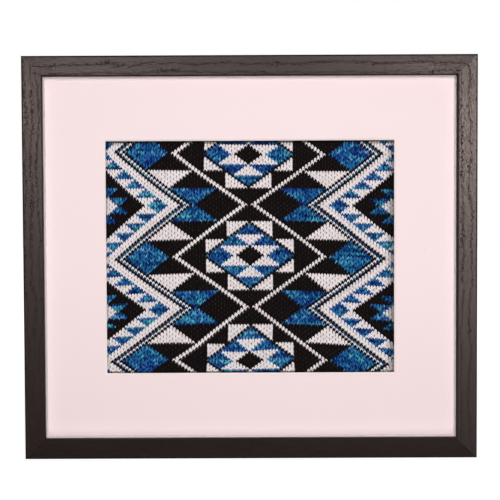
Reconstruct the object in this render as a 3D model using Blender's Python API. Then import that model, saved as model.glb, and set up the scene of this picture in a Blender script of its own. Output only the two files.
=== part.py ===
"""A knitted taniko panel behind a white mat in a mitred wooden picture frame.

The frame stands upright and faces -Y. The origin lies on the wall side of the top rail, in the middle of
its back face, so the wall's surface is the plane y = 0. Units are metres.
"""

import math

import bmesh
import bpy
from mathutils import Matrix, Vector

# The frame, outside edge to outside edge, and its depth from the wall to its face.
FRAME_WIDTH = 0.450
FRAME_HEIGHT = 0.400
FRAME_DEPTH = 0.030

# The moulding. The lip is the part of a rail that reaches in front of the mat.
RAIL_WIDTH = 0.0205
BACK_WIDTH = 0.0150
LIP_DEPTH = 0.0050
OUTER_ROUND = 0.0012
ROUND_STEPS = 4
INNER_BEVEL_WIDTH = 0.0012
INNER_BEVEL_DEPTH = 0.0010
INNER_BEVEL_BULGE = 0.00015

# Pieces that meet keep this gap.
GAP = 0.0003

# The strips that hold the mat back from the lips.
FILLET_DEPTH = 0.0117
FILLET_SETBACK = 0.0003

# The mat's window is measured at the back of the board, where it meets the knit.
MAT_THICKNESS = 0.0014
WINDOW_WIDTH = 0.2895
WINDOW_HEIGHT = 0.2335

# The knitted panel reaches behind the mat by this much on each side.
KNIT_THICKNESS = 0.0026
KNIT_MARGIN = 0.0200

BACKING_THICKNESS = 0.0030

# How far a cutter reaches past what it cuts.
OVERCUT = 0.0100

# Where each layer starts, counted from the wall towards the face, which is towards -Y.
TOP = BACK_WIDTH / 2
MIDDLE = TOP - FRAME_HEIGHT / 2
LIP_BACK = FRAME_DEPTH - LIP_DEPTH
FILLET_BACK = LIP_BACK - GAP - FILLET_DEPTH
MAT_BACK = FILLET_BACK - GAP - MAT_THICKNESS
KNIT_BACK = MAT_BACK - GAP - KNIT_THICKNESS
BACKING_BACK = KNIT_BACK - GAP - BACKING_THICKNESS

# The space that the rebates leave for the boards.
REBATE_WIDTH = FRAME_WIDTH - 2 * BACK_WIDTH
REBATE_HEIGHT = FRAME_HEIGHT - 2 * BACK_WIDTH

# name, colour, roughness
MATERIALS = {
    "stained_wood": ((0.030, 0.022, 0.020, 1.0), 0.42),
    "fillet_white": ((0.760, 0.690, 0.680, 1.0), 0.60),
    "mat_board": ((0.870, 0.760, 0.760, 1.0), 0.85),
    "knitted_yarn": ((0.240, 0.280, 0.400, 1.0), 0.90),
    "backing_board": ((0.290, 0.200, 0.130, 1.0), 0.80),
}


def clear_scene():
    for obj in list(bpy.data.objects):
        bpy.data.objects.remove(obj, do_unlink=True)
    for collection in list(bpy.data.collections):
        bpy.data.collections.remove(collection)


def new_collection(name):
    collection = bpy.data.collections.new(name)
    bpy.context.scene.collection.children.link(collection)
    return collection


def make_materials():
    made = {}
    for name, (colour, roughness) in MATERIALS.items():
        material = bpy.data.materials.new(name)
        material.use_nodes = True
        shader = material.node_tree.nodes["Principled BSDF"]
        shader.inputs["Base Color"].default_value = colour
        shader.inputs["Roughness"].default_value = roughness
        shader.inputs["Metallic"].default_value = 0.0
        made[name] = material
    return made


def outline_mesh(name, points, thickness, turn):
    """A closed flat outline given half its thickness to each side, then turned into place."""
    curve = bpy.data.curves.new(name, "CURVE")
    curve.dimensions = "2D"
    curve.fill_mode = "BOTH"
    curve.extrude = thickness / 2
    spline = curve.splines.new("POLY")
    spline.points.add(len(points) - 1)
    for point, (x, y) in zip(spline.points, points):
        point.co = (x, y, 0.0, 1.0)
    spline.use_cyclic_u = True
    guide = bpy.data.objects.new(name, curve)
    bpy.context.scene.collection.objects.link(guide)
    graph = bpy.context.evaluated_depsgraph_get()
    mesh = bpy.data.meshes.new_from_object(guide.evaluated_get(graph))
    bpy.data.objects.remove(guide)
    bpy.data.curves.remove(curve)
    shape = bmesh.new()
    shape.from_mesh(mesh)
    bmesh.ops.remove_doubles(shape, verts=shape.verts, dist=1e-6)
    bmesh.ops.recalc_face_normals(shape, faces=shape.faces)
    shape.to_mesh(mesh)
    shape.free()
    mesh.transform(turn)
    return mesh


def add_object(name, mesh, collection, material=None):
    mesh.name = name
    obj = bpy.data.objects.new(name, mesh)
    collection.objects.link(obj)
    if material:
        mesh.materials.append(material)
    return obj


def cut(obj, cutter, operation):
    modifier = obj.modifiers.new(cutter.name, "BOOLEAN")
    modifier.operation = operation
    modifier.solver = "EXACT"
    modifier.object = cutter
    cutter.hide_render = True
    cutter.display_type = "WIRE"


def mitred(name, length, profile, deep, parts, cutters, material):
    """A length of moulding along X whose outer edge is z = 0 and whose inner edge lies towards -Z.

    profile holds (distance in from the outer edge, y). The ends are cut at 45 degrees, each half a gap
    short of the corner's diagonal, by keeping only what a four-sided prism holds.
    """
    along_x = Matrix.Rotation(math.pi / 2, 4, "Y")
    rail = add_object(name, outline_mesh(name, profile, length, along_x), parts, material)
    reach = length / 2 - GAP / math.sqrt(2)
    plan = [
        (-reach - OVERCUT, OVERCUT),
        (-reach + deep + OVERCUT, -deep - OVERCUT),
        (reach - deep - OVERCUT, -deep - OVERCUT),
        (reach + OVERCUT, OVERCUT),
    ]
    along_y = Matrix.Rotation(math.pi / 2, 4, "X")
    prism = outline_mesh(name + "_mitre", plan, 2 * (FRAME_DEPTH + OVERCUT), along_y)
    cutter = add_object(name + "_mitre", prism, cutters)
    cutter.parent = rail
    cut(rail, cutter, "INTERSECT")
    return rail


def rail_profile():
    """The moulding's section, from the outer back edge round the face to the rebate."""
    face = -FRAME_DEPTH
    points = [(0.0, 0.0)]
    for step in range(ROUND_STEPS + 1):
        angle = math.radians(90 * step / ROUND_STEPS)
        points.append((
            OUTER_ROUND * (1 - math.cos(angle)),
            face + OUTER_ROUND * (1 - math.sin(angle)),
        ))
    start = Vector((RAIL_WIDTH - INNER_BEVEL_WIDTH, face))
    end = Vector((RAIL_WIDTH, face + INNER_BEVEL_DEPTH))
    outward = Vector((end.y - start.y, start.x - end.x)).normalized()
    for step in range(ROUND_STEPS + 1):
        share = step / ROUND_STEPS
        bulge = INNER_BEVEL_BULGE * math.sin(math.pi * share)
        points.append(tuple(start.lerp(end, share) + outward * bulge))
    points += [
        (RAIL_WIDTH, -LIP_BACK),
        (BACK_WIDTH, -LIP_BACK),
        (BACK_WIDTH, 0.0),
    ]
    return points


def place_side(obj, side, width, height):
    """Turn a length made along X so that its outer edge is one side of a width by height rectangle."""
    places = {
        "top": ((0.0, 0.0, height / 2), 0.0),
        "bottom": ((0.0, 0.0, -height / 2), math.pi),
        "left": ((-width / 2, 0.0, 0.0), -math.pi / 2),
        "right": ((width / 2, 0.0, 0.0), math.pi / 2),
    }
    location, angle = places[side]
    obj.location = Vector(location) + Vector((0.0, 0.0, MIDDLE))
    obj.rotation_euler = (0.0, angle, 0.0)


def make_ring(kind, width, height, profile, deep, parts, cutters, material):
    """Four mitred lengths round a rectangle."""
    for side in ("top", "bottom", "left", "right"):
        length = width if side in ("top", "bottom") else height
        piece = mitred(f"{kind}_{side}", length, profile, deep, parts, cutters, material)
        place_side(piece, side, width, height)


def board(name, width, height, back, thickness, collection, material=None):
    """A flat board centred in the frame, its back this far in front of the wall."""
    mesh = bpy.data.meshes.new(name)
    shape = bmesh.new()
    bmesh.ops.create_cube(shape, size=1.0)
    bmesh.ops.scale(shape, vec=(width, thickness, height), verts=shape.verts)
    shape.to_mesh(mesh)
    shape.free()
    obj = add_object(name, mesh, collection, material)
    obj.location = (0.0, -back - thickness / 2, MIDDLE)
    return obj


def window_cutter(cutters):
    """A block whose sides slope at 45 degrees, so that the window widens towards the face."""
    cutter = board(
        "mat_window", WINDOW_WIDTH, WINDOW_HEIGHT, MAT_BACK - OVERCUT, MAT_THICKNESS + 2 * OVERCUT,
        cutters,
    )
    for vertex in cutter.data.vertices:
        spread = -OVERCUT if vertex.co.y > 0 else MAT_THICKNESS + OVERCUT
        vertex.co.x += spread if vertex.co.x > 0 else -spread
        vertex.co.z += spread if vertex.co.z > 0 else -spread
    return cutter


def main():
    clear_scene()
    parts = new_collection("framed_taniko_panel")
    cutters = new_collection("cutters")
    materials = make_materials()

    make_ring(
        "rail", FRAME_WIDTH, FRAME_HEIGHT, rail_profile(), RAIL_WIDTH,
        parts, cutters, materials["stained_wood"],
    )

    fillet_width = RAIL_WIDTH - BACK_WIDTH - GAP - FILLET_SETBACK
    fillet_profile = [
        (0.0, -FILLET_BACK),
        (0.0, -FILLET_BACK - FILLET_DEPTH),
        (fillet_width, -FILLET_BACK - FILLET_DEPTH),
        (fillet_width, -FILLET_BACK),
    ]
    make_ring(
        "fillet", REBATE_WIDTH - 2 * GAP, REBATE_HEIGHT - 2 * GAP, fillet_profile, fillet_width,
        parts, cutters, materials["fillet_white"],
    )

    board_size = (REBATE_WIDTH - 2 * GAP, REBATE_HEIGHT - 2 * GAP)
    mat = board("mat", *board_size, MAT_BACK, MAT_THICKNESS, parts, materials["mat_board"])
    cut(mat, window_cutter(cutters), "DIFFERENCE")

    knit_size = (WINDOW_WIDTH + 2 * KNIT_MARGIN, WINDOW_HEIGHT + 2 * KNIT_MARGIN)
    board("knit", *knit_size, KNIT_BACK, KNIT_THICKNESS, parts, materials["knitted_yarn"])
    board("backing", *board_size, BACKING_BACK, BACKING_THICKNESS, parts, materials["backing_board"])


main()
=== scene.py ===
import math

import bpy
import numpy as np
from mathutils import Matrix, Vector
from mathutils.kdtree import KDTree


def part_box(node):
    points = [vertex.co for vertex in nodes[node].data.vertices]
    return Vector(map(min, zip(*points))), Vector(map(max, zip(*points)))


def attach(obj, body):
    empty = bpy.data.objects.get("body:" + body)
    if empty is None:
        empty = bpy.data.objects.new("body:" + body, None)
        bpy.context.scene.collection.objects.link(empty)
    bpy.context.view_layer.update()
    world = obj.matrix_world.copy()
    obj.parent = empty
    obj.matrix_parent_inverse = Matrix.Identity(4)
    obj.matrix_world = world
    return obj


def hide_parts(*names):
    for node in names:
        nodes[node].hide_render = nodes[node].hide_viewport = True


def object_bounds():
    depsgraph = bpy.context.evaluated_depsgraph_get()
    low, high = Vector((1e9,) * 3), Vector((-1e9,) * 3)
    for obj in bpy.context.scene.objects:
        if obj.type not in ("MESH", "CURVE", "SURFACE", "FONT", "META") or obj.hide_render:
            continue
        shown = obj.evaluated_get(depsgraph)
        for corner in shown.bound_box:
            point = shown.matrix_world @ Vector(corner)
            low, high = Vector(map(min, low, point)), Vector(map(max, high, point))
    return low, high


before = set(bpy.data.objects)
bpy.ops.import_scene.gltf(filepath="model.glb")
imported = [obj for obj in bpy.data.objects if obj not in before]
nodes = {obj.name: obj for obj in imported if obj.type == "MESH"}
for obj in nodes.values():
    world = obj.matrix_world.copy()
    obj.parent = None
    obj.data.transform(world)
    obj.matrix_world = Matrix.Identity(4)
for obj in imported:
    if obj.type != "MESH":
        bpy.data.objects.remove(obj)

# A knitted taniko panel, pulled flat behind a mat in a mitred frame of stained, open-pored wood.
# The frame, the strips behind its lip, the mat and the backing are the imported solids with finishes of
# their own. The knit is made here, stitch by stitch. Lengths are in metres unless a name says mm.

cad_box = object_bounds()

# The knit lies between these, and the window is what the mat leaves of it.
KNIT_LOW, KNIT_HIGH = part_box("knit")
MIDDLE = (KNIT_LOW + KNIT_HIGH) / 2
WINDOW_WIDTH = 0.2895
WINDOW_HEIGHT = 0.2335


# ---------------------------------------------------------------------------------------------
# Nodes for the finishes
# ---------------------------------------------------------------------------------------------

def add(tree, kind, inputs=None, **settings):
    """One node with its settings, and the values or sockets that feed it."""
    made = tree.nodes.new(kind)
    for key, value in settings.items():
        setattr(made, key, value)
    for key, value in (inputs or {}).items():
        if isinstance(value, bpy.types.NodeSocket):
            tree.links.new(value, made.inputs[key])
        else:
            made.inputs[key].default_value = value
    return made


def new_finish(name, roughness, specular):
    material = bpy.data.materials.new(name)
    material.use_nodes = True
    tree = material.node_tree
    shader = tree.nodes["Principled BSDF"]
    shader.inputs["Roughness"].default_value = roughness
    shader.inputs["Specular IOR Level"].default_value = specular
    return material, tree, shader


def math_of(tree, operation, first, second=0.0):
    return add(tree, "ShaderNodeMath", {0: first, 1: second}, operation=operation).outputs[0]


def vector_of(tree, operation, inputs, output="Vector"):
    return add(tree, "ShaderNodeVectorMath", inputs, operation=operation).outputs[output]


def split(tree, vector):
    """A vector's X, Y and Z."""
    return add(tree, "ShaderNodeSeparateXYZ", {0: vector}).outputs


def ranged(tree, value, low, high, to_low=0.0, to_high=1.0):
    """value from low to high, brought to run from to_low to to_high with soft ends."""
    made = add(
        tree, "ShaderNodeMapRange",
        {"Value": value, "From Min": low, "From Max": high, "To Min": to_low, "To Max": to_high},
        interpolation_type="SMOOTHSTEP",
    )
    return made.outputs["Result"]


def blended(tree, share, first, second, kind="MIX"):
    """Two colours mixed by share."""
    made = add(tree, "ShaderNodeMix", {0: share, 6: first, 7: second}, data_type="RGBA", blend_type=kind)
    return made.outputs[2]


def noise(tree, where, scale, detail, roughness=0.5):
    made = add(
        tree, "ShaderNodeTexNoise",
        {"Vector": where, "Scale": scale, "Detail": detail, "Roughness": roughness},
    )
    return made.outputs["Fac"]


def stretched(tree, where, scale=(1.0, 1.0, 1.0), shift=(0.0, 0.0, 0.0), turn=(0.0, 0.0, 0.0)):
    made = add(
        tree, "ShaderNodeMapping",
        {"Vector": where, "Location": shift, "Rotation": turn, "Scale": scale},
    )
    return made.outputs["Vector"]


def stretched_noise(tree, where, scale, detail, roughness=0.5):
    """Noise with a scale of its own along each axis."""
    return noise(tree, stretched(tree, where, scale), 1.0, detail, roughness)


def raised(tree, shader, height, depth):
    bump = add(tree, "ShaderNodeBump", {"Height": height, "Distance": depth, "Strength": 1.0})
    tree.links.new(bump.outputs["Normal"], shader.inputs["Normal"])


# ---------------------------------------------------------------------------------------------
# The frame's wood, the painted strips, the mat and the backing
# ---------------------------------------------------------------------------------------------

RAIL_WIDTH = 0.0205
# How far the darkening along the face's outer edge reaches in.
OUTER_EDGE_DARK = 0.0018
PORE_COLOUR = (0.0030, 0.0018, 0.0016, 1.0)
WOOD_COLOURS = (0.0070, 0.0031, 0.0029, 1.0), (0.0116, 0.0056, 0.0053, 1.0)
# The smooth wood's roughness, how much rougher the stained pores are, and the roughest that it gets.
SATIN, PORE_ROUGHER, ROUGHEST = 0.41, 0.47, 0.97
# How far the grain wanders to either side, in long waves and in small jags.
LONG_WANDER = 0.0028
SMALL_WANDER = 0.0027


def stained_wood(name, upright, shift, lines, gloss, grit, sight):
    """Dark stain on open-pored wood whose grain runs along the rail.

    lines are the places of the darkest grain lines, counted from the middle of the frame. gloss is how
    strongly the rail shines beside the others, as its grain lies differently to the lamps, grit how
    coarse its pores look, and sight how clear the wood is of painted shade along its inner edge.
    """
    material, tree, shader = new_finish(name, 0.36, 0.5 * gloss)
    shader.inputs["Specular Tint"].default_value = (1.0, 0.90, 0.84, 1.0)
    here = add(tree, "ShaderNodeTexCoord").outputs["Object"]
    centred = stretched(tree, here, shift=(0.0, 0.0, -MIDDLE.z))
    # Along X now runs the rail's length, and along Z its width.
    rail = stretched(tree, centred, turn=(0.0, math.pi / 2 if upright else 0.0, 0.0))
    along = stretched(tree, rail, shift=shift)

    slow = stretched_noise(tree, along, (22.0, 12.0, 60.0), 2.0)
    jagged = stretched_noise(tree, along, (360.0, 100.0, 200.0), 3.0, 0.8)
    sway = math_of(
        tree, "ADD",
        ranged(tree, slow, 0.2, 0.8, -LONG_WANDER, LONG_WANDER),
        ranged(tree, jagged, 0.2, 0.8, -SMALL_WANDER, SMALL_WANDER),
    )
    # How far a place lies from the frame's middle, across the rail.
    width = math_of(tree, "ABSOLUTE", split(tree, rail)["Z"])
    swayed = math_of(tree, "ADD", width, sway)
    nearest = None
    for line in lines:
        away = math_of(tree, "ABSOLUTE", math_of(tree, "SUBTRACT", swayed, line))
        nearest = away if nearest is None else math_of(tree, "MINIMUM", nearest, away)
    breaks = stretched_noise(tree, along, (190.0, 60.0, 340.0), 2.0, 0.6)
    line_width = ranged(tree, breaks, 0.36, 0.62, 0.00030, 0.00085)
    grain_line = add(
        tree, "ShaderNodeMapRange", {"Value": nearest, "From Min": 0.0, "From Max": line_width},
        interpolation_type="SMOOTHSTEP",
    ).outputs["Result"]

    # Fine pores are short dashes along the grain, and lie closest together beside its lines.
    pores = stretched_noise(tree, along, (190.0, 800.0, 900.0), 2.0, 0.6)
    beside = ranged(tree, nearest, 0.0, 0.0030, 0.05, -0.02)
    fine = ranged(tree, math_of(tree, "SUBTRACT", pores, beside), 0.28, 0.44, 0.45, 1.0)
    closed = math_of(tree, "MULTIPLY", ranged(tree, grain_line, 0.0, 1.0, 0.20, 1.0), fine)
    cloud = stretched_noise(tree, along, (14.0, 50.0, 50.0), 3.0)

    # The face is darker along its outer edge. The darkening along its inner edge is painted shade, for an
    # inner bevel turned from the lamps.
    place = split(tree, here)
    half = cad_box[1].x if upright else cad_box[1].z - MIDDLE.z
    from_edge = math_of(
        tree, "MAXIMUM",
        math_of(tree, "SUBTRACT", half, width),
        math_of(tree, "SUBTRACT", place["Y"], cad_box[0].y),
    )
    inner = ranged(tree, from_edge, OUTER_EDGE_DARK * 0.6, OUTER_EDGE_DARK)
    from_sight = math_of(tree, "SUBTRACT", width, half - RAIL_WIDTH)
    clear = math_of(tree, "MULTIPLY", inner, ranged(tree, from_sight, 0.0012, 0.0030, sight, 1.0))
    shine = math_of(tree, "MULTIPLY", closed, clear)
    # The pores are open at the top of the frame and filled at its foot.
    opened = ranged(tree, place["Z"], cad_box[0].z + 0.03, MIDDLE.z + 0.11, 0.12, 1.0)
    streaks = stretched_noise(tree, along, (150.0, 1100.0, 1100.0), 4.0, 0.8)
    specks = stretched_noise(tree, along, (480.0, 800.0, 800.0), 3.0, 0.8)
    grains = math_of(tree, "SUBTRACT", math_of(tree, "ADD", streaks, specks), 1.0)
    grains = math_of(tree, "MULTIPLY", grains, opened)

    body = blended(tree, cloud, *WOOD_COLOURS)
    tree.links.new(blended(tree, shine, PORE_COLOUR, body), shader.inputs["Base Color"])
    satin = ranged(tree, shine, 0.0, 1.0, SATIN + PORE_ROUGHER * min(1.0, grit), SATIN)
    worn = math_of(tree, "ADD", satin, ranged(tree, cloud, 0.3, 0.7, -0.02, 0.02))
    # A highlight weakens with the fourth power of the roughness.
    level = ranged(tree, grains, -0.16, 0.16, max(0.1, 1 - 0.4 * grit), 1 + 0.4 * grit)
    rough = math_of(tree, "MULTIPLY", worn, math_of(tree, "POWER", level, -0.25))
    tree.links.new(math_of(tree, "MINIMUM", rough, ROUGHEST), shader.inputs["Roughness"])
    raised(tree, shader, closed, 0.00008)
    return material


def painted_strip(name, dark, light):
    """Matt white paint with faint brush marks."""
    material, tree, shader = new_finish(name, 0.7, 0.3)
    here = add(tree, "ShaderNodeTexCoord").outputs["Object"]
    marks = stretched_noise(tree, here, (60.0, 900.0, 60.0), 3.0)
    tree.links.new(blended(tree, marks, dark, light), shader.inputs["Base Color"])
    raised(tree, shader, marks, 0.00003)
    return material


# How high the painted shade along the mat's foot reaches above the lower rail's lip.
LIP_SHADE_HEIGHT = 0.0073


def mat_board():
    """Matt white board with a paler core where the window's bevel is cut, and a few faint flecks."""
    material, tree, shader = new_finish("mat_board", 0.85, 0.25)
    here = add(tree, "ShaderNodeTexCoord").outputs["Object"]
    facing = split(tree, add(tree, "ShaderNodeNewGeometry").outputs["Normal"])["Y"]
    core = add(tree, "ShaderNodeMath", {0: facing, 1: -0.707, 2: 0.2}, operation="COMPARE").outputs[0]
    fibres = noise(tree, here, 1600.0, 3.0, 0.6)
    clouds = noise(tree, here, 14.0, 2.0)
    cells = add(tree, "ShaderNodeTexVoronoi", {"Vector": here, "Scale": 34.0})
    fleck = ranged(tree, cells.outputs["Distance"], 0.020, 0.034)
    rare = ranged(
        tree, add(tree, "ShaderNodeSeparateColor", {0: cells.outputs["Color"]}).outputs[0], 0.80, 0.82,
    )
    shown = math_of(tree, "MAXIMUM", fleck, math_of(tree, "SUBTRACT", 1.0, rare))
    # Painted shade: it is drawn a little darker towards its foot, where less of the lamps' light falls.
    height = split(tree, here)["Z"]
    foot_shade = math_of(tree, "MULTIPLY", ranged(tree, height, MIDDLE.z + 0.02, MIDDLE.z - 0.20), 0.75)
    face = blended(tree, clouds, (0.900, 0.815, 0.830, 1.0), (0.920, 0.832, 0.846, 1.0))
    face = blended(tree, foot_shade, face, (0.845, 0.765, 0.775, 1.0))
    # Painted shade along its lower edge, in the shelter of the lower rail's lip.
    lip = cad_box[0].z + RAIL_WIDTH
    lip_shade = ranged(tree, height, lip + LIP_SHADE_HEIGHT, lip)
    face = blended(tree, lip_shade, face, (0.685, 0.617, 0.627, 1.0))
    face = blended(tree, math_of(tree, "MULTIPLY", fibres, 0.12), face, (0.82, 0.74, 0.75, 1.0))
    face = blended(tree, shown, (0.80, 0.72, 0.71, 1.0), face)
    tree.links.new(blended(tree, core, face, (0.95, 0.92, 0.88, 1.0)), shader.inputs["Base Color"])
    raised(tree, shader, fibres, 0.00002)
    return material


def pressed_board():
    """Raw pressed board, brown and finely mottled."""
    material, tree, shader = new_finish("pressed_board", 0.85, 0.25)
    here = add(tree, "ShaderNodeTexCoord").outputs["Object"]
    fibres = noise(tree, here, 420.0, 4.0, 0.65)
    patches = noise(tree, here, 30.0, 3.0)
    fine = blended(tree, fibres, (0.20, 0.130, 0.078, 1.0), (0.37, 0.262, 0.170, 1.0))
    tree.links.new(
        blended(tree, math_of(tree, "MULTIPLY", patches, 0.35), fine, (0.25, 0.165, 0.100, 1.0)),
        shader.inputs["Base Color"],
    )
    raised(tree, shader, fibres, 0.00006)
    return material


def dress(node, material):
    shown = nodes[node]
    for place in shown.material_slots:
        place.material = material
    if not shown.material_slots:
        shown.data.materials.append(material)


# Each end of a rail is drawn out by this much, which closes all but a hair of the gap at a mitre.
MITRE_REACH = 0.000195


def joined_tree():
    """Draws a rail out at both ends, so that its mitres close on its neighbours'."""
    tree = bpy.data.node_groups.new("joined", "GeometryNodeTree")
    face = tree.interface
    face.new_socket("Rail", in_out="INPUT", socket_type="NodeSocketGeometry")
    face.new_socket("Along", in_out="INPUT", socket_type="NodeSocketVector")
    face.new_socket("Reach", in_out="INPUT", socket_type="NodeSocketFloat")
    face.new_socket("Middle", in_out="INPUT", socket_type="NodeSocketVector")
    face.new_socket("Rail", in_out="OUTPUT", socket_type="NodeSocketGeometry")
    given = tree.nodes.new("NodeGroupInput").outputs
    place = add(tree, "GeometryNodeInputPosition").outputs[0]
    away = vector_of(tree, "SUBTRACT", {0: place, 1: given["Middle"]})
    side = vector_of(tree, "DOT_PRODUCT", {0: away, 1: given["Along"]}, "Value")
    step = math_of(tree, "MULTIPLY", math_of(tree, "SIGN", side), given["Reach"])
    shift = vector_of(tree, "SCALE", {0: given["Along"], 3: step})
    moved = add(tree, "GeometryNodeSetPosition", {"Geometry": given["Rail"], "Offset": shift}).outputs[0]
    out = tree.nodes.new("NodeGroupOutput")
    tree.links.new(moved, out.inputs[0])
    return tree


def modifier_input(modifier, name, value):
    """Sets one input of a modifier's tree by its socket's identifier."""
    for item in modifier.node_group.interface.items_tree:
        if item.item_type == "SOCKET" and item.in_out == "INPUT" and item.name == name:
            modifier[item.identifier] = value


# Whether the rail stands upright, where its grain is taken from, its grain lines, its gloss, its grit, and
# how clear its inner edge is of painted shade.
RAIL_GRAIN = {
    "top": (False, (0.31, 0.12, 0.070), (0.1918, 0.1832), 0.80, 1.6, 0.9),
    "bottom": (False, (1.70, 0.45, 0.210), (0.1945, 0.1880, 0.1832), 0.64, 0.45, 1.0),
    "left": (True, (2.90, 0.83, 0.330), (0.2216, 0.2150, 0.2084), 0.86, 0.90, 0.9),
    "right": (True, (4.20, 0.27, 0.542), (0.2180, 0.2095), 1.25, 1.85, 0.35),
}
mitre_tree = joined_tree()
for side, (upright, shift, lines, gloss, grit, sight) in RAIL_GRAIN.items():
    dress(f"rail_{side}", stained_wood(f"stained_wood_{side}", upright, shift, lines, gloss, grit, sight))
    joined = nodes[f"rail_{side}"].modifiers.new("joined", "NODES")
    joined.node_group = mitre_tree
    modifier_input(joined, "Along", (0.0, 0.0, 1.0) if upright else (1.0, 0.0, 0.0))
    modifier_input(joined, "Reach", MITRE_REACH)
    modifier_input(joined, "Middle", (0.0, 0.0, MIDDLE.z))
strip_paint = painted_strip("painted_strip", (0.73, 0.75, 0.74, 1.0), (0.77, 0.79, 0.78, 1.0))
# The lowest strip lies in the lip's shelter and faces up into the light: its whiter copy of the same paint
# is painted light.
lit_strip_paint = painted_strip("painted_strip_lit", (0.86, 0.86, 0.86, 1.0), (0.90, 0.90, 0.90, 1.0))
for side in RAIL_GRAIN:
    dress(f"fillet_{side}", lit_strip_paint if side == "bottom" else strip_paint)
dress("mat", mat_board())
dress("backing", pressed_board())


# ---------------------------------------------------------------------------------------------
# The chart
# ---------------------------------------------------------------------------------------------

BLACK, WHITE, BLUE = 0, 1, 2
REPEAT_ROWS = 46


def charted(column, row):
    """The yarn of one stitch.

    Columns count from the middle, and rows upwards from the heart of the middle diamond.
    The pattern is the same to the left and right of the middle, and above and below each diamond's heart.
    """
    out = abs(column)
    up = row % REPEAT_ROWS
    up = min(up, REPEAT_ROWS - up)

    # The nested diamond.
    edge = 15 - up
    if edge >= 0 and out <= edge:
        if out == edge:
            return BLACK
        if edge <= 5:
            return BLUE
        if edge <= 10:
            return WHITE if out <= 10 - edge else BLUE
        if out <= edge - 11:
            return BLACK
        return WHITE if out <= 20 - edge else BLUE

    # White steps at its shoulders.
    if 9 <= up <= 15 and 16 - up <= out <= 7:
        return WHITE
    if 2 <= up <= 7 and 16 - up <= out <= 14:
        return WHITE

    # The lattice that crosses between the diamonds, and what stands beside it.
    across = out + up
    if across in (24, 25):
        return WHITE
    if up >= 16 and abs(out - 18) <= 23 - up:
        return BLUE
    if 8 <= up <= 15 and abs(out - 26) <= 15 - up:
        return WHITE
    if up <= 7 and abs(out - 34) <= 7 - up:
        return BLUE

    # The double zigzag and the broad band outside it, set with small triangles.
    if across <= 42:
        return BLACK
    if across <= 45:
        return (WHITE, BLUE, BLACK)[across - 43]
    if across <= 57:
        foot = up | 3
        return BLUE if abs(out - (53 - foot)) <= 3 - (foot - up) else WHITE

    # What the window shows of the next diamond.
    if up >= 20:
        if abs(out - 44) <= 23 - up:
            return BLUE
        if out >= 45:
            return WHITE
    if 16 <= up <= 19 and abs(out - 48) <= 19 - up:
        return BLUE
    return BLACK


# ---------------------------------------------------------------------------------------------
# Where each stitch lies
# ---------------------------------------------------------------------------------------------

# The rows bow and the columns draw together towards the sides, as the knit was pulled out flat. Each term
# is a length in mm, (across, up), for these powers of the column and the row, both counted in fifties.
PULL_UNIT = 50.0
PULL_MM = {
    (0, 0): (-0.13, 1.63), (0, 1): (-1.38, 112.16), (0, 2): (-2.52, -2.31), (0, 3): (0.74, -0.8),
    (0, 4): (2.03, 1.01), (1, 0): (153.39, -0.34), (1, 1): (3.8, 0.5), (1, 2): (1.06, -1.75),
    (1, 3): (-4.1, -0.96), (2, 0): (-3.71, -6.33), (2, 1): (1.77, 5.08), (2, 2): (1.34, 4.59),
    (3, 0): (-4.8, -0.54), (3, 1): (-5.6, 0.12), (4, 0): (3.94, 0.91),
}
# In some places the cloth was tugged further, most at the middle of its foot. Each tug has its middle
# (column, row), how many columns and rows it reaches, and its length in mm (across, up).
TUGS_MM = [
    ((-16, -43), (9, 8), (1.26, -1.64)),
    ((-3, -43), (9, 8), (-1.1, -3.51)),
    ((10, -43), (9, 8), (-0.74, 0.02)),
    ((-3, -33), (9, 8), (0.56, -0.31)),
    ((-46, 46), (8, 8), (-2.91, -1.57)),
    ((49, 4), (6, 8), (0.77, 2.48)),
]
# The usual stitch, against which each is sized where it lies.
STITCH_WIDTH = 0.00306
ROW_HEIGHT = 0.00224


def pulled(columns, rows):
    """Places across and up from the window's middle."""
    across, up = np.zeros(np.shape(columns)), np.zeros(np.shape(columns))
    for (i, j), (x, z) in PULL_MM.items():
        share = (columns / PULL_UNIT) ** i * (rows / PULL_UNIT) ** j
        across += 0.001 * x * share
        up += 0.001 * z * share
    for (column, row), (wide, high), (x, z) in TUGS_MM:
        share = np.exp(-((columns - column) / wide) ** 2 - ((rows - row) / high) ** 2)
        across += 0.001 * x * share
        up += 0.001 * z * share
    return across, up


# The stitches go on this far past the window's edge, behind the mat.
HIDDEN = 0.0012
LAST_COLUMN, TOP_ROW, LOWEST_ROW = 51, 56, -55


def near_window(x, z):
    return (np.abs(x) < WINDOW_WIDTH / 2 + HIDDEN) & (np.abs(z) < WINDOW_HEIGHT / 2 + HIDDEN)


grid_columns, grid_rows = (
    part.ravel() for part in np.meshgrid(
        np.arange(-LAST_COLUMN, LAST_COLUMN + 1), np.arange(TOP_ROW, LOWEST_ROW - 1, -1),
    )
)
grid_x, grid_z = pulled(grid_columns, grid_rows)
kept = near_window(grid_x, grid_z)
grid_columns, grid_rows, grid_x, grid_z = (
    part[kept] for part in (grid_columns, grid_rows, grid_x, grid_z)
)
grid_yarn = np.array([charted(int(c), int(r)) for c, r in zip(grid_columns, grid_rows)])
# A stitch that stands alone has another yarn to its left and to its right.
grid_alone = np.array([
    charted(int(c) - 1, int(r)) != yarn and charted(int(c) + 1, int(r)) != yarn
    for c, r, yarn in zip(grid_columns, grid_rows, grid_yarn)
])


# ---------------------------------------------------------------------------------------------
# The yarns' colours
# ---------------------------------------------------------------------------------------------

def linear(colour):
    """A colour as seen on a screen, 0 to 255, as light."""
    share = np.asarray(colour, float) / 255.0
    return np.where(share <= 0.04045, share / 12.92, ((share + 0.055) / 1.055) ** 2.4)


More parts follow.
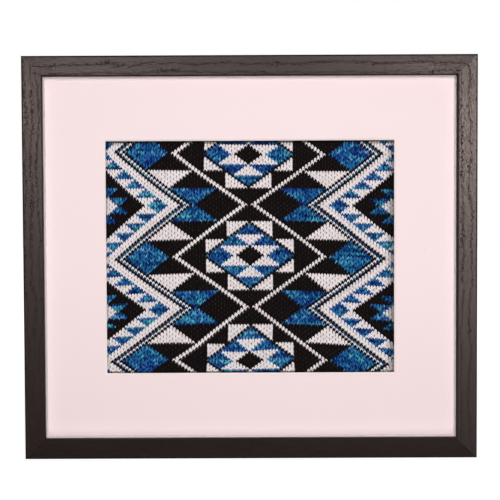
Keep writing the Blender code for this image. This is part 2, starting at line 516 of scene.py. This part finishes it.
# The blue yarn changes from navy to teal along its length.
BLUE_STOPS = (0.0, 0.3, 0.6, 0.85, 1.0)
BLUE_COLOURS = linear([(2, 24, 84), (16, 73, 149), (40, 123, 180), (68, 166, 200), (112, 198, 214)])
WHITE_COLOUR = linear((252, 251, 252))
BLACK_COLOUR = linear((16, 12, 12))
# What peeps through among black, white and blue stitches: the carried yarn, in colours that are partly
# painted shade from the gaps between the legs.
PEEP_AND_SHADE_COLOURS = linear([(42, 36, 37), (150, 140, 142), (2, 8, 28)])
# Where the dye lies between the blue stops, and how far it reaches. It changes a little over the panel,
# more along the yarn, and most from strand to strand.
DYE_MIDDLE, DYE_REACH = 0.41, 0.27
DYE_PANEL, DYE_YARN, DYE_STRAND = 0.14, 0.62, 0.88
# The blue also turns warmer and cooler: how far, which way in red, green and blue, and how much of it over
# the panel and along the yarn.
WARMTH, WARM_TURN = 0.10, np.array([0.8, -0.9, 0.35])
WARM_PANEL, WARM_YARN = 0.25, 0.95
WHITE_UNEVEN, BLACK_UNEVEN = 0.10, 0.20
# A blue stitch that stands alone between black and white is dimmed by painted shade, as it sinks between
# them, and greyed by their fuzz.
LONE_BLUE_SHADE = np.array([0.8, 0.8, 0.66])
LONE_FUZZ = np.array([0.024, 0.016, 0.010])


DRIFT_WAVES = 9


def drifting(columns, rows, seed):
    """A slow change over the whole panel, about one unit either way."""
    draw = np.random.default_rng(seed)
    total = np.zeros(len(columns))
    for _ in range(DRIFT_WAVES):
        turn, phase = draw.uniform(0, math.tau, 2)
        length = draw.uniform(9, 26)
        total += np.cos(math.tau * (columns * math.cos(turn) + rows * math.sin(turn)) / length + phase)
    return total / math.sqrt(DRIFT_WAVES / 2)


# More rows, and more stitches to a row, than the knit has.
YARN_TABLE = 140


def along_yarn(columns, rows, seed, keep):
    """A change that runs along each row, where the yarn goes, and starts afresh in the next.

    keep is how much of it lasts from one stitch to the next.
    """
    draw = np.random.default_rng(seed)
    table = np.zeros((YARN_TABLE, YARN_TABLE))
    table[:, 0] = draw.normal(size=YARN_TABLE)
    for step in range(1, YARN_TABLE):
        fresh = math.sqrt(1 - keep * keep) * draw.normal(size=YARN_TABLE)
        table[:, step] = keep * table[:, step - 1] + fresh
    return table[rows + YARN_TABLE // 2, columns + YARN_TABLE // 2]


def yarn_colours(yarn, columns, rows, seed):
    """One colour for each strand, from its yarn and its place."""
    draw = np.random.default_rng(seed)
    count = len(yarn)
    dye = (
        DYE_PANEL * drifting(columns, rows, 7)
        + DYE_YARN * along_yarn(columns, rows, 11, 0.85)
        + DYE_STRAND * draw.normal(size=count)
    )
    dye = np.clip(DYE_MIDDLE + DYE_REACH * dye, 0, 1)
    blue = np.stack([np.interp(dye, BLUE_STOPS, BLUE_COLOURS[:, k]) for k in range(3)], 1)
    warm = WARM_PANEL * drifting(columns, rows, 23) + WARM_YARN * along_yarn(columns, rows, 29, 0.8)
    blue *= 1 + WARMTH * warm[:, None] * WARM_TURN
    white = WHITE_COLOUR * (1 + WHITE_UNEVEN * draw.normal(size=(count, 1)))
    black = BLACK_COLOUR * (1 + BLACK_UNEVEN * draw.normal(size=(count, 1)))
    made = np.where(yarn[:, None] == BLUE, blue, np.where(yarn[:, None] == WHITE, white, black))
    return np.clip(made, 0.001, 0.97)


def knitted_yarn():
    """Plied wool: each strand's own colour, the twist of its plies and its fuzz."""
    material, tree, shader = new_finish("knitted_yarn", 0.95, 0.1)
    tint = add(tree, "ShaderNodeAttribute", attribute_name="tint").outputs["Color"]
    strand = add(tree, "ShaderNodeAttribute", attribute_name="strand").outputs["Vector"]
    here = add(tree, "ShaderNodeTexCoord").outputs["Object"]
    twist = add(
        tree, "ShaderNodeTexWave",
        {"Vector": strand, "Scale": 0.42, "Distortion": 1.2, "Detail": 1.0, "Detail Scale": 1.5},
        wave_type="BANDS", bands_direction="DIAGONAL", wave_profile="SIN",
    ).outputs["Fac"]
    fuzz = noise(tree, here, 5200.0, 2.0, 0.6)
    worked = math_of(
        tree, "MULTIPLY",
        ranged(tree, twist, 0.0, 1.0, 0.86, 1.10),
        ranged(tree, fuzz, 0.3, 0.7, 0.90, 1.12),
    )
    worked = add(tree, "ShaderNodeCombineColor", {0: worked, 1: worked, 2: worked}).outputs[0]
    tree.links.new(blended(tree, 1.0, tint, worked, "MULTIPLY"), shader.inputs["Base Color"])
    shader.inputs["Sheen Weight"].default_value = 0.02
    shader.inputs["Sheen Roughness"].default_value = 0.5
    raised(tree, shader, math_of(tree, "ADD", twist, math_of(tree, "MULTIPLY", fuzz, 0.6)), 0.00006)
    return material


yarn_finish = knitted_yarn()


# ---------------------------------------------------------------------------------------------
# The stitches
# ---------------------------------------------------------------------------------------------

def carried(tree, name, kind="FLOAT_VECTOR"):
    """What each point carries under this name."""
    return add(tree, "GeometryNodeInputNamedAttribute", {"Name": name}, data_type=kind).outputs["Attribute"]


def stored(tree, shape, name, value, kind, domain):
    made = add(
        tree, "GeometryNodeStoreNamedAttribute", {"Geometry": shape, "Name": name, "Value": value},
        data_type=kind, domain=domain,
    )
    return made.outputs["Geometry"]


def drawn(tree, middle, spread, seed):
    """A number drawn for each point, up to spread above or below the middle."""
    ends = {2: math_of(tree, "SUBTRACT", middle, spread), 3: math_of(tree, "ADD", middle, spread)}
    return add(tree, "FunctionNodeRandomValue", {**ends, "Seed": seed}, data_type="FLOAT").outputs[1]


def stitch_tree():
    """Sets a strand on each point: a stitch's left or right leg, or a peep of carried yarn."""
    tree = bpy.data.node_groups.new("stitches", "GeometryNodeTree")
    face = tree.interface
    face.new_socket("Points", in_out="INPUT", socket_type="NodeSocketGeometry")
    asked = (
        ("Head", "NodeSocketVector"), ("Knee", "NodeSocketVector"), ("Foot", "NodeSocketVector"),
        ("Strand radius", "NodeSocketFloat"), ("Head share", "NodeSocketFloat"),
        ("Foot share", "NodeSocketFloat"), ("Peep size", "NodeSocketVector"),
        ("Uneven turn", "NodeSocketFloat"), ("Uneven size", "NodeSocketFloat"),
        ("Sides", "NodeSocketInt"), ("Steps", "NodeSocketInt"), ("Seed", "NodeSocketInt"),
        ("Yarn", "NodeSocketMaterial"),
    )
    for name, kind in asked:
        face.new_socket(name, in_out="INPUT", socket_type=kind)
    face.new_socket("Stitches", in_out="OUTPUT", socket_type="NodeSocketGeometry")
    given = tree.nodes.new("NodeGroupInput").outputs

    along = add(tree, "GeometryNodeSplineParameter").outputs["Factor"]
    # A strand is thickest a little below its middle.
    lowered = math_of(tree, "POWER", along, 1.35)
    swell = math_of(tree, "SINE", math_of(tree, "MULTIPLY", lowered, math.pi))
    ends = add(tree, "ShaderNodeMix", {0: along, 2: given["Head share"], 3: given["Foot share"]}).outputs[0]
    share = add(tree, "ShaderNodeMix", {0: swell, 2: ends, 3: 1.0}).outputs[0]
    radius = math_of(tree, "MULTIPLY", share, given["Strand radius"])
    section = add(
        tree, "GeometryNodeCurvePrimitiveCircle", {"Resolution": given["Sides"], "Radius": 1.0},
        mode="RADIUS",
    ).outputs["Curve"]

    strands = []
    for hand in (-1.0, 1.0):
        head, knee, foot = (
            vector_of(tree, "MULTIPLY", {0: given[name], 1: (hand, 1.0, 1.0)})
            for name in ("Head", "Knee", "Foot")
        )
        path = add(
            tree, "GeometryNodeCurveQuadraticBezier",
            {"Resolution": given["Steps"], "Start": head, "Middle": knee, "End": foot},
        ).outputs["Curve"]
        tube = add(
            tree, "GeometryNodeCurveToMesh",
            {"Curve": path, "Profile Curve": section, "Scale": radius, "Fill Caps": True},
        ).outputs["Mesh"]
        strands.append(tube)
    ball = add(tree, "GeometryNodeMeshIcoSphere", {"Radius": 1.0, "Subdivisions": 1}).outputs["Mesh"]
    peep = add(tree, "GeometryNodeTransform", {"Geometry": ball, "Scale": given["Peep size"]})
    strands.append(peep.outputs["Geometry"])

    kit = tree.nodes.new("GeometryNodeGeometryToInstance")
    for strand in reversed(strands):
        local = vector_of(tree, "SCALE", {0: add(tree, "GeometryNodeInputPosition").outputs[0], 3: 1000.0})
        marked = stored(tree, strand, "strand", local, "FLOAT_VECTOR", "POINT")
        smooth = add(tree, "GeometryNodeSetShadeSmooth", {"Geometry": marked}).outputs["Geometry"]
        tree.links.new(smooth, kit.inputs[0])

    tilt = drawn(tree, 0.0, given["Uneven turn"], given["Seed"])
    lean = carried(tree, "lean", "FLOAT")
    turn = add(tree, "ShaderNodeCombineXYZ", {"Y": math_of(tree, "ADD", tilt, lean)}).outputs[0]
    grow = drawn(tree, 1.0, given["Uneven size"], math_of(tree, "ADD", given["Seed"], 1.0))
    size = vector_of(tree, "SCALE", {0: carried(tree, "span"), 3: grow})
    placed = add(
        tree, "GeometryNodeInstanceOnPoints",
        {
            "Points": given["Points"], "Instance": kit.outputs[0], "Pick Instance": True,
            "Instance Index": carried(tree, "kind", "INT"), "Rotation": turn, "Scale": size,
        },
    ).outputs["Instances"]
    real = add(tree, "GeometryNodeRealizeInstances", {"Geometry": placed}).outputs["Geometry"]

    # Each strand has its own cell on the flat map.
    local = split(tree, carried(tree, "strand"))
    flat = add(tree, "ShaderNodeCombineXYZ", {"X": local["X"], "Y": local["Z"]}).outputs[0]
    spot = vector_of(
        tree, "MULTIPLY_ADD", {0: flat, 1: carried(tree, "cell_size"), 2: carried(tree, "cell")},
    )
    mapped = stored(tree, real, "OFBake", spot, "FLOAT2", "CORNER")
    dressed = add(
        tree, "GeometryNodeSetMaterial", {"Geometry": mapped, "Material": given["Yarn"]},
    ).outputs["Geometry"]
    out = tree.nodes.new("NodeGroupOutput")
    tree.links.new(dressed, out.inputs["Stitches"])
    return tree


STITCH_SIZES = {
    "Head": (0.00008, -0.00052, 0.00150),
    "Knee": (0.00052, -0.00056, 0.00034),
    "Foot": (0.00136, 0.00042, -0.00166),
    "Strand radius": 0.00074,
    "Head share": 0.50,
    "Foot share": 0.56,
    "Peep size": (0.00060, 0.00045, 0.00098),
    "Uneven turn": 0.05,
    "Uneven size": 0.04,
    "Sides": 5,
    "Steps": 3,
    "Seed": 5,
}
STRAND_FLATNESS = 0.58
# How full each yarn knits up across, in depth and upwards: black, white and blue.
FULLNESS = np.array([(1.15, 1.22, 1.40), (0.96, 0.93, 0.90), (1.0, 1.0, 1.0)])


def carry(mesh, name, kind, values):
    """Gives each point of a mesh its value under this name."""
    key = {"FLOAT_VECTOR": "vector", "FLOAT_COLOR": "color"}.get(kind, "value")
    values = np.asarray(values, np.int32 if kind == "INT" else np.float32)
    mesh.attributes.new(name, kind, "POINT").data.foreach_set(key, values.ravel())


def opaque(colours):
    return np.concatenate([colours, np.ones((len(colours), 1))], 1)


def points_mesh(name, places, kinds, tints, spans, leans, cells, cell_sizes):
    """Loose points with what the stitch tree reads at each."""
    mesh = bpy.data.meshes.new(name)
    mesh.vertices.add(len(places))
    mesh.vertices.foreach_set("co", np.asarray(places, np.float32).ravel())
    carry(mesh, "kind", "INT", kinds)
    carry(mesh, "tint", "FLOAT_COLOR", opaque(tints))
    carry(mesh, "span", "FLOAT_VECTOR", spans)
    carry(mesh, "lean", "FLOAT", leans)
    carry(mesh, "cell", "FLOAT_VECTOR", cells)
    carry(mesh, "cell_size", "FLOAT_VECTOR", cell_sizes)
    return mesh


# Painted shade on the knit along each edge of the window, where it goes back under the mat: the share of
# its own colour that is left at the edge, how many mm the shade reaches in, and how it fades.
EDGE_SHADE = {
    "top": (0.0, 4.2, 1.3), "bottom": (0.10, 2.8, 1.0), "left": (0.55, 4.0, 0.7), "right": (0.30, 10.0, 0.8),
}


def edge_shade(x, z):
    """The share of its own colour that a strand keeps at this place in the window, under the painted shade.
    """
    inside = {
        "top": WINDOW_HEIGHT / 2 - z, "bottom": WINDOW_HEIGHT / 2 + z,
        "left": WINDOW_WIDTH / 2 + x, "right": WINDOW_WIDTH / 2 - x,
    }
    share = np.ones(len(x))
    for side, (least, reach, power) in EDGE_SHADE.items():
        step = np.clip(inside[side] * 1000.0 / reach, 0, 1)
        share *= least + (1 - least) * (step * step * (3 - 2 * step)) ** power
    return share[:, None]


LEFT_LEG, RIGHT_LEG, PEEP = 0, 1, 2
# Each leg draws its colour from a seed of its own, counted from this one.
LEG_SEED = 100
# The strands' middle line lies this far behind the knit's face.
STRAND_DEPTH = 0.00105
# A peep of carried yarn lies between two columns, this share of a row below its stitch. Its depth behind
# the face varies a little. Its brightness is drawn evenly, from the dimmest up to the spread above that.
PEEP_DOWN = 0.36
PEEP_DEPTH, PEEP_DEPTH_UNEVEN = 0.00062, 0.00005
PEEP_DIMMEST, PEEP_SPREAD = 0.3, 1.4
PEEP_SEED = 61
BLUE_PEEP_SIZE = 1.15
# The heart of a black stitch that stands alone: how far below the stitch's middle it lies in rows, its
# depth behind the face, and how much larger than a peep it is across, in depth and upwards.
HEART_DOWN, HEART_DEPTH = 0.05, 0.00052
HEART_SIZE = np.array([1.40, 1.1, 1.15])


def local_sizes(columns, rows):
    """A stitch's width, flatness and height against the usual one, and how far its column leans."""
    left, _ = pulled(columns - 0.5, rows)
    right, _ = pulled(columns + 0.5, rows)
    low_x, low_z = pulled(columns, rows - 0.5)
    high_x, high_z = pulled(columns, rows + 0.5)
    flatness = np.full(len(columns), STRAND_FLATNESS)
    spans = np.stack([(right - left) / STITCH_WIDTH, flatness, (high_z - low_z) / ROW_HEIGHT], 1)
    return spans, np.arctan2(high_x - low_x, high_z - low_z)


def in_knit(x, z, depth):
    """Places in the frame, from places in the window and the depth behind the knit's face."""
    return np.stack([x + MIDDLE.x, KNIT_LOW.y + depth + np.zeros(len(x)), z + MIDDLE.z], 1)


def strand_list():
    """Every strand of the knit: its place, kind, colour and sizes, with its column and row."""
    parts = []
    spans, leans = local_sizes(grid_columns, grid_rows)
    spans = spans * FULLNESS[grid_yarn]
    places = in_knit(grid_x, grid_z, STRAND_DEPTH)
    lone_blue = (grid_alone & (grid_yarn == BLUE))[:, None]
    for kind in (LEFT_LEG, RIGHT_LEG):
        tints = yarn_colours(grid_yarn, grid_columns, grid_rows, LEG_SEED + kind)
        # A lone blue stitch is dimmed by painted shade.
        tints = np.where(lone_blue, tints * LONE_BLUE_SHADE + LONE_FUZZ, tints)
        tints *= edge_shade(grid_x, grid_z)
        parts.append((places, np.full(len(grid_x), kind), tints, spans, leans, grid_columns, grid_rows))

    # The yarn that isn't in use is caught at every second stitch, one place over in each row, and peeps
    # through beside it. Among white stitches it is caught at the places between.
    caught = (grid_columns + grid_rows) % 2 == np.where(grid_yarn == WHITE, 0, 1)
    columns, rows, yarn = grid_columns[caught], grid_rows[caught], grid_yarn[caught]
    x, z = pulled(columns + 0.5, rows - PEEP_DOWN)
    draw = np.random.default_rng(PEEP_SEED)
    bright = PEEP_DIMMEST + PEEP_SPREAD * draw.random((len(x), 1))
    # The peeps' colours are partly painted shade.
    tints = PEEP_AND_SHADE_COLOURS[yarn] * bright * edge_shade(x, z)
    spans, leans = local_sizes(columns, rows)
    spans = spans * np.where(yarn == BLUE, BLUE_PEEP_SIZE, 1.0)[:, None]
    places = in_knit(x, z, PEEP_DEPTH + draw.normal(0.0, PEEP_DEPTH_UNEVEN, len(x)))
    parts.append((places, np.full(len(x), PEEP), tints, spans, leans, columns, rows))

    # A black stitch between two others knits up round, its legs closed over a full heart.
    round_one = grid_alone & (grid_yarn == BLACK)
    columns, rows = grid_columns[round_one], grid_rows[round_one]
    x, z = pulled(columns, rows - HEART_DOWN)
    tints = BLACK_COLOUR * edge_shade(x, z)
    spans, leans = local_sizes(columns, rows)
    places = in_knit(x, z, HEART_DEPTH)
    parts.append((places, np.full(len(x), PEEP), tints, spans * HEART_SIZE, leans, columns, rows))
    return [np.concatenate(part) for part in zip(*parts)]


# One cell of the flat map spans this many mm across and up. Each leg leans to its own side, so it is set
# this share of a cell back towards the middle.
CELL_MM = (2.6, 4.4)
LEG_BACK = np.array([0.27, -0.27, 0.0])


def knit_band(name, tree, strands, chosen):
    """One band of rows as a plain mesh."""
    places, kinds, tints, spans, leans, columns, rows = (part[chosen] for part in strands)
    # Each stitch has three cells side by side on the flat map: a leg, a leg and a peep.
    first_column, first_row = columns.min(), rows.min()
    wide, high = 1.0 / (3 * (columns.max() - first_column + 1)), 1.0 / (rows.max() - first_row + 1)
    cells = np.stack([
        (3 * (columns - first_column) + kinds + 0.5 + LEG_BACK[kinds]) * wide,
        (rows - first_row + 0.5) * high,
        np.zeros(len(rows)),
    ], 1)
    sizes = np.tile((wide / CELL_MM[0], high / CELL_MM[1], 0.0), (len(rows), 1))
    mesh = points_mesh(name + "_points", places, kinds, tints, spans, leans, cells, sizes)
    maker = bpy.data.objects.new(name + "_points", mesh)
    bpy.context.scene.collection.objects.link(maker)
    modifier = maker.modifiers.new("stitches", "NODES")
    modifier.node_group = tree
    for key, value in STITCH_SIZES.items():
        modifier_input(modifier, key, value)
    modifier_input(modifier, "Yarn", yarn_finish)
    graph = bpy.context.evaluated_depsgraph_get()
    made = bpy.data.meshes.new_from_object(maker.evaluated_get(graph))
    bpy.data.objects.remove(maker)
    bpy.data.meshes.remove(mesh)
    for spare in ("kind", "span", "lean", "cell", "cell_size"):
        if spare in made.attributes:
            made.attributes.remove(made.attributes[spare])
    made.name = name
    band = bpy.data.objects.new(name, made)
    bpy.context.scene.collection.objects.link(band)
    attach(band, "root")
    return band


BANDS = 5
strands = strand_list()
strand_rows = strands[-1]
edges = np.linspace(grid_rows.max() + 1, grid_rows.min(), BANDS + 1).round().astype(int)
strand_tree = stitch_tree()
for number in range(BANDS):
    chosen = (strand_rows < edges[number]) & (strand_rows >= edges[number + 1])
    knit_band(f"stitches_{number + 1}", strand_tree, strands, chosen)


GROUND_THICKNESS = 0.0009
GROUND_CELLS = (110, 122)
# How much of its colour each yarn keeps in the ground, the rest being painted shade in the gaps between
# the stitches: black, white and blue.
GROUND_SHADE_SHARES = np.array([0.75, 0.60, 0.50])
# Each point of the ground takes the colour of the stitch nearest to a place this many rows above it.
GROUND_RISE = 0.4


def knit_ground():
    """The back of the knit: a thin sheet that reaches behind the mat, in the colours of what lies on it,
    dimmed as painted shade.
    """
    across, up = GROUND_CELLS
    front_y, back_y = KNIT_HIGH.y - GROUND_THICKNESS, KNIT_HIGH.y
    vertices = [
        (x, front_y, z)
        for z in np.linspace(KNIT_LOW.z, KNIT_HIGH.z, up + 1)
        for x in np.linspace(KNIT_LOW.x, KNIT_HIGH.x, across + 1)
    ]
    faces = []
    wide = across + 1
    for j in range(up):
        for i in range(across):
            a = j * wide + i
            faces.append((a, a + 1, a + wide + 1, a + wide))
    count = len(vertices)
    # The back is one face, joined to the front's rim all round.
    rim = list(range(wide))
    rim += [j * wide + across for j in range(1, up + 1)]
    rim += [up * wide + i for i in range(across - 1, -1, -1)]
    rim += [j * wide for j in range(up - 1, 0, -1)]
    for index in rim:
        x, _, z = vertices[index]
        vertices.append((x, back_y, z))
    for k in range(len(rim)):
        after = (k + 1) % len(rim)
        faces.append((rim[after], rim[k], count + k, count + after))
    faces.append(tuple(count + k for k in range(len(rim) - 1, -1, -1)))
    mesh = bpy.data.meshes.new("knit_ground")
    mesh.from_pydata(vertices, [], faces)
    mesh.update()

    near = KDTree(len(grid_x))
    for index, (x, z) in enumerate(zip(grid_x, grid_z)):
        near.insert((x + MIDDLE.x, 0.0, z + MIDDLE.z), index)
    near.balance()
    # The ground keeps only a share of each yarn's colour: the rest is painted shade.
    own = yarn_colours(grid_yarn, grid_columns, grid_rows, LEG_SEED) * GROUND_SHADE_SHARES[grid_yarn][:, None]
    colours = np.array([
        own[near.find((x, 0.0, z + GROUND_RISE * ROW_HEIGHT))[1]] for x, _, z in vertices
    ])
    place = np.array(vertices)
    x, z = place[:, 0] - MIDDLE.x, place[:, 2] - MIDDLE.z
    colours *= np.where(near_window(x, z)[:, None], edge_shade(x, z), 1.0)
    carry(mesh, "tint", "FLOAT_COLOR", opaque(colours))
    carry(mesh, "strand", "FLOAT_VECTOR", place * 1000.0)
    mesh.materials.append(yarn_finish)
    ground = bpy.data.objects.new("knit_ground", mesh)
    bpy.context.scene.collection.objects.link(ground)
    return ground


ground = knit_ground()
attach(ground, "root")
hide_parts("knit")


# ---------------------------------------------------------------------------------------------
# The studio: camera, lights and a plain pale floor
# ---------------------------------------------------------------------------------------------

# The camera's turns and half its angle of view are in degrees.
CAMERA_PLACE = (0.0020, -1.1932, -0.1407)
CAMERA_TURN = (87.836, 0.246, 0.097)
HALF_VIEW = 12.0
SENSOR_WIDTH = 36.0
FLOOR_RADIUS = 6.0
FLOOR_SIDES = 48
FLOOR_GAP = 0.0002
WARM_WHITE = (1.0, 0.90, 0.90)
# Each soft box's place, its size and its power.
FRONT_BOX = ((0.10, -1.5, 0.0), (0.40, 0.40), 17.4)
SIDE_BOXES = {
    "right_box": ((0.535, -1.5, 0.054), (0.45, 0.35), 12.4),
    "left_box": ((-0.426, -1.5, 0.097), (0.45, 0.15), 8.4),
}


def place_camera():
    lens = bpy.data.cameras.new("camera")
    lens.sensor_width = SENSOR_WIDTH
    lens.sensor_fit = "HORIZONTAL"
    lens.lens = SENSOR_WIDTH / 2 / math.tan(math.radians(HALF_VIEW))
    camera = bpy.data.objects.new("camera", lens)
    camera.location = CAMERA_PLACE
    camera.rotation_euler = tuple(math.radians(angle) for angle in CAMERA_TURN)
    bpy.context.scene.collection.objects.link(camera)
    bpy.context.scene.camera = camera


def soft_light(name, place, size, power):
    """A flat lamp that faces the middle of the frame."""
    lamp = bpy.data.lights.new(name, "AREA")
    lamp.shape = "RECTANGLE"
    lamp.size, lamp.size_y = size
    lamp.energy = power
    lamp.color = WARM_WHITE
    light = bpy.data.objects.new(name, lamp)
    light.location = place
    aim = Vector((0.0, 0.0, MIDDLE.z)) - Vector(place)
    light.rotation_euler = aim.to_track_quat("-Z", "Y").to_euler()
    bpy.context.scene.collection.objects.link(light)
    return light


def pale_floor():
    """A wide white floor just under the frame."""
    level = cad_box[0].z - FLOOR_GAP
    mesh = bpy.data.meshes.new("floor")
    angles = [math.tau * k / FLOOR_SIDES for k in range(FLOOR_SIDES)]
    rim = [(FLOOR_RADIUS * math.cos(angle), FLOOR_RADIUS * math.sin(angle), level) for angle in angles]
    mesh.from_pydata(rim, [], [tuple(range(FLOOR_SIDES))])
    material, tree, shader = new_finish("floor", 0.9, 0.1)
    here = add(tree, "ShaderNodeTexCoord").outputs["Object"]
    away = vector_of(tree, "LENGTH", {0: here}, "Value")
    shader.inputs["Base Color"].default_value = (0.30, 0.30, 0.30, 1.0)
    shader.inputs["Emission Color"].default_value = (1.0, 1.0, 1.0, 1.0)
    tree.links.new(ranged(tree, away, 0.5, 1.2, 0.88, 1.05), shader.inputs["Emission Strength"])
    mesh.materials.append(material)
    floor = bpy.data.objects.new("floor", mesh)
    floor.visible_glossy = False
    floor.visible_diffuse = False
    bpy.context.scene.collection.objects.link(floor)


def light_studio():
    """A soft box in front, two at the sides, and dim air.

    The front box lights but gives no highlight, and the side boxes give only the highlight, which shows on
    the wood.
    """
    soft_light("front_box", *FRONT_BOX).visible_glossy = False
    for name, box in SIDE_BOXES.items():
        soft_light(name, *box).visible_diffuse = False

    world = bpy.data.worlds.new("studio")
    world.use_nodes = True
    tree = world.node_tree
    tree.nodes.clear()

    def glow(strength, colour=WARM_WHITE):
        made = add(tree, "ShaderNodeBackground", {"Color": (*colour, 1.0), "Strength": strength})
        return made.outputs[0]

    # The air is lighter behind the frame than in front of it, and dimmer again where the wood mirrors it.
    back = split(tree, add(tree, "ShaderNodeTexCoord").outputs["Generated"])["Y"]
    lit = glow(ranged(tree, ranged(tree, back, 0.25, 0.75), 0.0, 1.0, 0.30, 0.60))
    mirrored = glow(ranged(tree, back, -0.4, 0.35, 0.03, 0.40))
    rays = add(tree, "ShaderNodeLightPath").outputs
    air = add(tree, "ShaderNodeMixShader", {0: rays["Is Glossy Ray"], 1: lit, 2: mirrored}).outputs[0]
    seen = glow(1.0, (1.0, 1.0, 1.0))
    both = add(tree, "ShaderNodeMixShader", {0: rays["Is Camera Ray"], 1: air, 2: seen}).outputs[0]
    add(tree, "ShaderNodeOutputWorld", {"Surface": both})
    bpy.context.scene.world = world
    bpy.context.scene.view_settings.view_transform = "Standard"


place_camera()
light_studio()
pale_floor()
